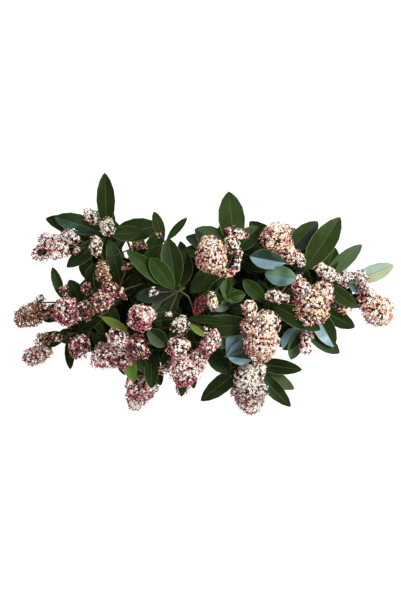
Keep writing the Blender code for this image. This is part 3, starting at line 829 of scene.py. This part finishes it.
class Mass:
    def __init__(self, name):
        self.name = name
        self.shoots = masses[name]
        self.rng = random.Random(growth["seed"] + sum(ord(letter) for letter in name))
        self.leaves = []
        self.paths = []
        bases = [shootBase(shoot) for shoot in self.shoots]
        self.middle = sum(bases, Vector((0, 0, 0))) / len(bases)
        self.gate = drawnIn(self.middle, boughShape["reach"], self.middle.z * boughShape["climb"])

    def boughPath(self):
        level = boughStarts[self.name]
        height = level + (self.gate.z - level) * boughShape["bendClimb"]
        control = drawnIn(self.gate, boughShape["bend"], height)
        return curvePoints(stemCentre(level), control, self.gate, boughShape["steps"])

    def growStem(self):
        bough = self.boughPath()
        along = (bough[-1] - bough[-2]).normalized()
        heart = drawnIn(self.middle, growth["heartReach"], self.middle.z - growth["heartDrop"])
        lead = self.gate + along * (heart - self.gate).length * growth["stemLead"]
        self.stem = curvePoints(self.gate - along * growth["stemOverlap"], lead, heart, growth["steps"])
        self.paths.append((self.stem, growth["stemRadii"]))

    def alongStem(self, share):
        place = share * (len(self.stem) - 1)
        index = min(int(place), len(self.stem) - 2)
        return self.stem[index].lerp(self.stem[index + 1], place - index)

    def growTwig(self, base, share, radii):
        start = self.alongStem(share)
        out = Vector((base.x - start.x, base.y - start.y, 0))
        climb = Vector((0, 0, (base.z - start.z) * growth["twigClimb"]))
        points = curvePoints(start, start + out * growth["twigOut"] + climb, base, growth["steps"])
        self.paths.append((points, radii))
        return points

    def growTop(self):
        self.growStem()
        self.tops = []
        for index, shoot in enumerate(self.shoots):
            base = shootBase(shoot)
            points = self.growTwig(base, growth["topStations"][index], growth["twigRadii"])
            self.tops.append(points)
            self.markedLeaves(shoot, points)
            for head in shoot.get("heads", ()):
                thick = min(growth["stalkMost"], growth["stalk"] + growth["stalkPerLength"] * head[2])
                self.paths.append(([points[-2], Vector(headCentre(head))],
                                   (thick, growth["stalkTip"] * thick)))
        for branch in branches.get(self.name, ()):
            points = [Vector((x, y, crownHeight(x, y) - depth)) for x, y, depth in branch]
            self.paths.append((points, growth["branchRadii"]))

    def growFilling(self):
        for shoot, points in zip(self.shoots, self.tops):
            if shoot.get("up", 0) > growth["raised"]:
                continue  # its leaves lie on top of the others
            self.filling(points, len(shoot.get("leaves", ())) + 1, topFill)
        for side, reach, rise, station in lowShoots:
            turn = Matrix.Rotation(math.radians(side), 3, "Z")
            base = turn @ drawnIn(self.middle, reach, self.middle.z * rise)
            if not covered(base.x, base.y):
                continue
            radii = [radius * growth["lowTwig"] for radius in growth["twigRadii"]]
            self.filling(self.growTwig(base, station, radii), 0, lowFill)

    def putLeaf(self, root, bearing, rise, length, width, colours, roll, droop=None):
        # length is as seen from above
        matrix = leafMatrix(root, bearing, rise, roll)
        self.leaves.append(bentLeaf(length / levelShare(rise), width, matrix, colours, self.rng, droop))

    def markedLeaves(self, shoot, points):
        reach = (points[-1] - points[-2]).length
        for index, (bearing, length, width, colours, rise, *droop) in enumerate(shoot.get("leaves", ())):
            station = growth["leafSpacing"] * growth["topSpacing"] * index
            root = points[-1].lerp(points[-2], min(1, station / reach))
            roll = self.rng.uniform(-growth["topRoll"], growth["topRoll"])
            self.putLeaf(root, bearing, rise, length, width, colours, roll, *droop)
            matrix = leafMatrix(root, bearing, rise, 0)
            for share, part in cover["sight"]:
                spot = matrix @ Vector((length * share, 0, -leafBend["droop"] * length * share * share))
                topLeaves.append((spot.x, spot.y, width * part, spot.z - cover["clear"]))

    def filling(self, points, first, plan):
        # leaves all round the twig's end, wherever they hide no listed leaf
        bearing = self.rng.uniform(0, 360)
        reach = sum((points[-step] - points[-step - 1]).length for step in (1, 2, 3))
        count = 0
        for index in range(fill["tries"]):
            if count == plan["count"]:
                break
            station = growth["leafSpacing"] * (first + count) + fill["tryStep"] * index
            root = points[-1].lerp(points[-4], min(fill["furthest"], station / reach))
            length = fill["length"] * self.rng.uniform(*fill["lengths"])
            width = fill["width"] * self.rng.uniform(*fill["widths"])
            rise = plan["firstRise"] - fill["riseStep"] * count
            rise += self.rng.uniform(-fill["riseSpread"], fill["riseSpread"])
            bearing += growth["goldenTurn"]
            matrix = leafMatrix(root, bearing, rise, 0)
            if leafCovered(matrix, length, width) and not hidesTop(matrix, length, width):
                kind = self.rng.choices(fill["kinds"], plan["weights"])[0]
                roll = self.rng.uniform(-fill["roll"], fill["roll"])
                self.putLeaf(root, bearing, rise, length * levelShare(rise), width, kind, roll)
                count += 1


def headCentre(head):
    x, y, length, width = head[:4]
    size = 0.5 * (length + width)
    return (x, y, crownHeight(x, y) - crown["shootDrop"] + crown["headLift"] + crown["headRise"] * size)


grown = {}
for name in masses:
    grown[name] = Mass(name)
    grown[name].growTop()
for mass in grown.values():
    mass.growFilling()
print("grown", sum(len(mass.leaves) for mass in grown.values()), "leaves")


# Flower heads

# a head is a heap of round clusters over a dark heart, painted shade that shows between the flowers, with
# flowers and buds on each cluster
headShape = dict(height=0.225, core=0.82, taperFrom=0.6, lowest=-0.5,
                 lobe=7.0, lobeGap=1.28, lobeInset=0.9, lobeSkin=1.2, lobeJitter=0.5, fewestLobes=5,
                 lobeReach=(0.88, 1.05), lobeSizes=(0.7, 1.15), lobeOpenness=0.22)
flowering = dict(spacing=3.4, fewest=8, capLowest=-0.3, wander=0.14, inside=0.88, underside=-0.55,
                 depth=(-2.6, 2.2, 0.3), bare=0.34, closeBare=0.12, spin=6, tilt=0.45,
                 lobeTurn=0.6, headTurn=0.5,
                 # painted light: heads open more on the side towards the window lamp, so that side is
                 # whiter
                 paintedLitSide=(0.50, 0.45, 0.70), paintedLitShare=0.42, paintedLitLevel=0.45,
                 flowerSize=7.6, closeSize=0.84, flowerSizes=(0.8, 1.12), lift=1.2, liftSpread=(-0.4, 0.8),
                 budSize=2.8, budSizes=(0.75, 1.2))
hexPacking = 0.866  # area of one place in a close pattern, for a spacing of 1
# tint: share of open flowers, petal weights, bud weights
tints = {
    "white": (0.62, dict(white=8, cream=2, silver=1), dict(pink=2, rose=1, maroon=5, shell=1)),
    "grey": (0.50, dict(white=4, cream=1, silver=4), dict(pink=1, rose=1, maroon=5, shell=1)),
    "silver": (0.66, dict(white=6, cream=2, silver=4), dict(pink=1, maroon=4, shell=3)),
    "cream": (0.54, dict(white=6, cream=6, straw=1), dict(pink=4, rose=2, maroon=5, amber=1)),
    "pink": (0.49, dict(white=8, cream=3, blush=2), dict(pink=5, rose=4, maroon=4)),
    "rose": (0.38, dict(white=8, cream=2, blush=4), dict(pink=7, rose=6, maroon=7)),
    "dusk": (0.24, dict(white=3, cream=3, blush=3, tan=3), dict(pink=2, rose=4, maroon=7, tan=2)),
    "tan": (0.42, dict(cream=2, straw=3, tan=6), dict(maroon=4, tan=5, shell=2)),
    "sepia": (0.42, dict(white=2, cream=4, blush=1, tan=3), dict(pink=2, rose=2, maroon=7, amber=2)),
    "brown": (0.24, dict(straw=1, tan=7), dict(rose=1, maroon=8, amber=2, tan=5)),
    "orange": (0.48, dict(white=5, cream=6, straw=2, blush=3), dict(pink=5, rose=3, maroon=4, amber=5)),
    "coral": (0.37, dict(white=5, cream=6, straw=2, blush=2), dict(pink=4, rose=2, maroon=6, amber=4)),
    "red": (-1, dict(blush=1), dict(rose=1, ruby=6, maroon=7)),
}
# older heads, whose flowers are smaller and sit closer
closeTints = ("brown", "sepia", "tan", "grey", "silver")
petalNames = list(petalColours)
budNames = list(budColours)


# for a flower whose petals reach 1 from its middle
flowerShape = dict(petals=4, depth=0.5, notch=0.33, tipRise=0.30, notchRise=0.16, eyeDrop=0.22,
                   centreRadius=0.24, centreDepth=0.34, centreRise=0.16)


def modelFlower():
    # petals round a small centre, closed underneath
    shape = flowerShape
    petalStep = 180 / shape["petals"]
    flower = addPrimitive(bpy.ops.mesh.primitive_cone_add, "flower_model", vertices=2 * shape["petals"],
                          radius1=1, radius2=0, depth=shape["depth"], end_fill_type="TRIFAN")
    editMode()
    # every second point of the rim is drawn in as a notch, and the others stay as tips
    editSelect(flower, lambda co: co.xy.length > 0.5 and
               abs((math.degrees(math.atan2(co.y, co.x)) / petalStep) % 2 - 1) < 0.2)
    bpy.ops.transform.resize(value=(shape["notch"], shape["notch"], 1), center_override=(0, 0, 0))
    editShift(flower, (0, 0, shape["tipRise"]), lambda co: co.xy.length > 0.8)
    editShift(flower, (0, 0, shape["notchRise"]), lambda co: 0.2 < co.xy.length < 0.8)
    editShift(flower, (0, 0, -shape["eyeDrop"]), lambda co: co.xy.length < 0.1 and co.z > 0)
    bpy.ops.mesh.select_all(action="DESELECT")
    bpy.ops.mesh.primitive_cone_add(vertices=shape["petals"], radius1=shape["centreRadius"], radius2=0,
                                    depth=shape["centreDepth"], end_fill_type="NOTHING",
                                    location=(0, 0, shape["centreRise"]))
    objectMode()
    spots = flower.data.vertices
    inside = 0.5 * (shape["centreRadius"] + shape["notch"])
    for face in flower.data.polygons:
        inner = all(spots[index].co.xy.length < inside for index in face.vertices)
        face.material_index = 1 if inner else 0
    return flower


budStretch = (0.92, 0.92, 1.15)
heartLumps = dict(size=0.45, strength=0.22, middle=0.6)


def modelBud():
    bud = addPrimitive(bpy.ops.mesh.primitive_ico_sphere_add, "bud_model", subdivisions=1, radius=1)
    editAll()
    bpy.ops.transform.resize(value=budStretch, center_override=(0, 0, 0))
    objectMode()
    return bud


def modelHeart():
    heart = addPrimitive(bpy.ops.mesh.primitive_ico_sphere_add, "heart_model", subdivisions=3, radius=1)
    displace(heart, "CLOUDS", heartLumps["size"], heartLumps["strength"], heartLumps["middle"])
    return heart


flowerArrays = takeArrays(modelFlower())
budArrays = takeArrays(modelBud())
heartArrays = takeArrays(modelHeart())
print("flower, bud and heart modelled", len(flowerArrays[1]), len(budArrays[1]), len(heartArrays[1]))


def facing(normal, spin):
    quat = Vector(normal).to_track_quat("Z", "Y")
    return quat.to_matrix() @ Matrix.Rotation(spin, 3, "Z")


def spiral(count, lowest):
    # directions spread evenly over a ball, from the top down
    for index in range(count):
        level = 1 - 2 * (index + 0.5) / count
        if level < lowest:
            break
        ring = math.sqrt(1 - level * level)
        angle = math.radians(growth["goldenTurn"]) * index
        yield np.array((ring * math.cos(angle), ring * math.sin(angle), level))


def scatter(rng, spread):
    return np.array([rng.uniform(-spread, spread) for _ in range(3)])


def slimming(along, taper):
    # a tapered head gets thinner towards its tip
    return 1 - taper * (along + headShape["taperFrom"]) * np.array((0, 1, 1))


def placesFor(area, spacing, fewest):
    return max(int(area / (hexPacking * spacing ** 2)), fewest)


def growLobes(axes, taper, rng):
    # place, radius, openness and outward direction of each cluster, and the half axes they stand on
    shape = headShape
    size = min(shape["lobe"], 0.5 * min(axes))
    inner = axes - shape["lobeInset"] * size - shape["lobeSkin"]
    power = 1.6  # gives an ellipsoid's area to one per cent
    a, b, c = inner ** power
    area = 4 * math.pi * ((a * b + a * c + b * c) / 3) ** (1 / power)
    lobes = []
    for unit in spiral(placesFor(area, size * shape["lobeGap"], shape["fewestLobes"]), shape["lowest"]):
        unit = unit + scatter(rng, shape["lobeJitter"]) * size / axes
        outward = unit / axes
        place = unit * inner * slimming(unit[0], taper) * rng.uniform(*shape["lobeReach"])
        radius = size * rng.uniform(*shape["lobeSizes"])
        openness = rng.uniform(-shape["lobeOpenness"], shape["lobeOpenness"])
        lobes.append((place, radius, openness, outward / np.linalg.norm(outward)))
    return lobes, inner


def pick(weights, names, rng):
    return names.index(rng.choices(list(weights), list(weights.values()))[0])


def growHead(head, rng, flowers, buds, hearts):
    x, y, length, width, bearing, tint, *more = head
    taper = more[0] if more else 0.0
    openShare, petals, closed = tints[tint]
    look = flowering
    close = tint in closeTints
    bare = look["closeBare"] if close else look["bare"]
    flowerSize = look["flowerSize"] * (look["closeSize"] if close else 1)
    centre = np.array(headCentre(head))
    axes = np.array((length / 2, width / 2, headShape["height"] * (length + width)))
    turn = np.array(Matrix.Rotation(math.radians(bearing), 3, "Z"))
    lobes, inner = growLobes(axes, taper, rng)
    points, faces, slots = heartArrays
    shaped = points * slimming(points[:, :1], taper) * inner * headShape["core"]
    hearts.append(((shaped @ turn.T + centre) * mm, faces, slots))
    places = np.array([lobe[0] for lobe in lobes])
    radii = np.array([lobe[1] for lobe in lobes])
    paintedLitSide = np.array(look["paintedLitSide"]) @ turn  # painted light: more open, whiter flowers on the side towards the window lamp
    for place, radius, openness, outward in lobes:
        openness += look["paintedLitShare"] * (float(outward @ paintedLitSide) - look["paintedLitLevel"])
        stand = np.array(facing(outward, rng.uniform(0, look["spin"])))
        count = placesFor(4 * math.pi * radius ** 2, look["spacing"], look["fewest"])
        for unit in spiral(count, look["capLowest"]):
            way = stand @ unit + scatter(rng, look["wander"])
            spot = place + way * radius
            inside = ((places - spot) ** 2).sum(axis=1) < (radii * look["inside"]) ** 2
            if inside.any() or rng.random() < bare or spot[2] < look["underside"] * axes[2]:
                continue
            spot = spot + way * rng.triangular(*look["depth"])
            normal = turn @ (look["lobeTurn"] * way + look["headTurn"] * outward)
            normal = normal / np.linalg.norm(normal)
            tilted = Vector(normal) + Vector(scatter(rng, look["tilt"]))
            matrix = np.array(facing(tilted, rng.uniform(0, math.pi)))
            spot = turn @ spot + centre
            if rng.random() < openShare + openness:
                size = flowerSize * 0.5 * rng.uniform(*look["flowerSizes"])
                spot = spot + normal * (look["lift"] + rng.uniform(*look["liftSpread"]))
                points, faces, slots = flowerArrays
                slots = np.where(slots == 0, pick(petals, petalNames, rng), petalNames.index("anther"))
                copies = flowers
            else:
                size = look["budSize"] * 0.5 * rng.uniform(*look["budSizes"])
                points, faces, slots = budArrays
                slots = np.full(len(faces), pick(closed, budNames, rng))
                copies = buds
            copies.append(((points * size @ matrix.T + spot) * mm, faces, slots))


def tubes(name, paths, material, fineness=1):
    # round limbs from curves, the radii dealt out evenly along each, then made a mesh
    data = bpy.data.curves.new(name, "CURVE")
    data.dimensions = "3D"
    data.bevel_depth = mm
    data.bevel_resolution = fineness
    data.use_fill_caps = True
    for points, radii in paths:
        spline = data.splines.new("POLY")
        spline.points.add(len(points) - 1)
        for index, point in enumerate(points):
            spline.points[index].co = (*(point * mm), 1)
            share = index / (len(points) - 1) * (len(radii) - 1)
            low = min(int(share), len(radii) - 2)
            spline.points[index].radius = radii[low] + (radii[low + 1] - radii[low]) * (share - low)
        spline.use_smooth = True
    selectOnly(addObject(name, data))
    bpy.ops.object.convert(target="MESH")
    item = bpy.context.object
    item.data.materials.clear()
    item.data.materials.append(material)
    return item


for sector, names in sectors.items():
    nodes = ["foliage_" + name for name in names]
    leaves, paths, flowers, buds, hearts = [], [], [], [], []
    for name in names:
        mass = grown[name]
        leaves += mass.leaves
        paths += mass.paths
        for shoot in mass.shoots:
            for head in shoot.get("heads", ()):
                growHead(head, mass.rng, flowers, buds, hearts)
    leafPiece = joinedPiece("leaves_" + sector, leaves, [finishes[name] for name in leafNames])
    petalMaterials = [finishes["petal " + name] for name in petalNames]
    budMaterials = [finishes["bud " + name] for name in budNames]
    flowerPiece = joinedPiece("flowers_" + sector, flowers, petalMaterials)
    budPiece = joinedPiece("buds_" + sector, buds, budMaterials)
    heartPiece = joinedPiece("hearts_" + sector, hearts, [finishes["heart"]])
    twigPiece = tubes("twigs_" + sector, paths, finishes["twig_bark"])
    for piece in (leafPiece, flowerPiece, budPiece, heartPiece, twigPiece):
        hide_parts(*nodes)
        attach(piece, "root")
    print(sector, "done")


# Main stem and boughs

reliefMiddle = 0.6


def barkRelief(item, shape):
    displace(item, "MUSGRAVE", shape["reliefSize"] * mm, shape["relief"] * mm, reliefMiddle)


def mainStem():
    shape = stemShape
    stem = addPrimitive(bpy.ops.mesh.primitive_circle_add, "main_stem_bark", vertices=shape["sides"],
                        radius=shape["footRadius"] * mm, fill_type="NGON")
    editAll()
    radius = shape["footRadius"]
    centre = stemCentre(0)
    for ring in range(1, shape["rings"] + 1):
        z = shape["height"] * ring / shape["rings"]
        share = z / shape["height"]
        wanted = shape["lowRadius"] + (shape["topRadius"] - shape["lowRadius"]) * share
        wanted += (shape["footRadius"] - shape["lowRadius"]) * math.exp(-z / shape["flareHeight"])
        target = stemCentre(z)
        step = (target - centre) * mm
        bpy.ops.mesh.extrude_region_move(TRANSFORM_OT_translate=dict(value=tuple(step)))
        bpy.ops.transform.resize(value=(wanted / radius, wanted / radius, 1),
                                 center_override=tuple(target * mm))
        radius = wanted
        centre = target
    editAll()
    bpy.ops.mesh.normals_make_consistent(inside=False)
    objectMode()
    barkRelief(stem, shape)
    for vert in stem.data.vertices:  # the foot stays flat on the ground
        if vert.co.z < mm:
            vert.co.z = 0
    stem.data.materials.append(finishes["bark"])
    bpy.ops.object.shade_smooth()
    return stem


stemPiece = mainStem()
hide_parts("main_stem")
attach(stemPiece, "root")

for name, mass in grown.items():
    path = (mass.boughPath(), (boughShape["startRadius"], boughShape["endRadius"]))
    bough = tubes("bough_bark_" + name, [path], finishes["bark"], boughShape["fineness"])
    editAll()
    bpy.ops.mesh.subdivide(number_cuts=boughShape["cuts"])
    objectMode()
    barkRelief(bough, boughShape)
    bpy.ops.object.shade_smooth()
    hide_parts("bough_" + name)
    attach(bough, "root")
print("stem and boughs done")
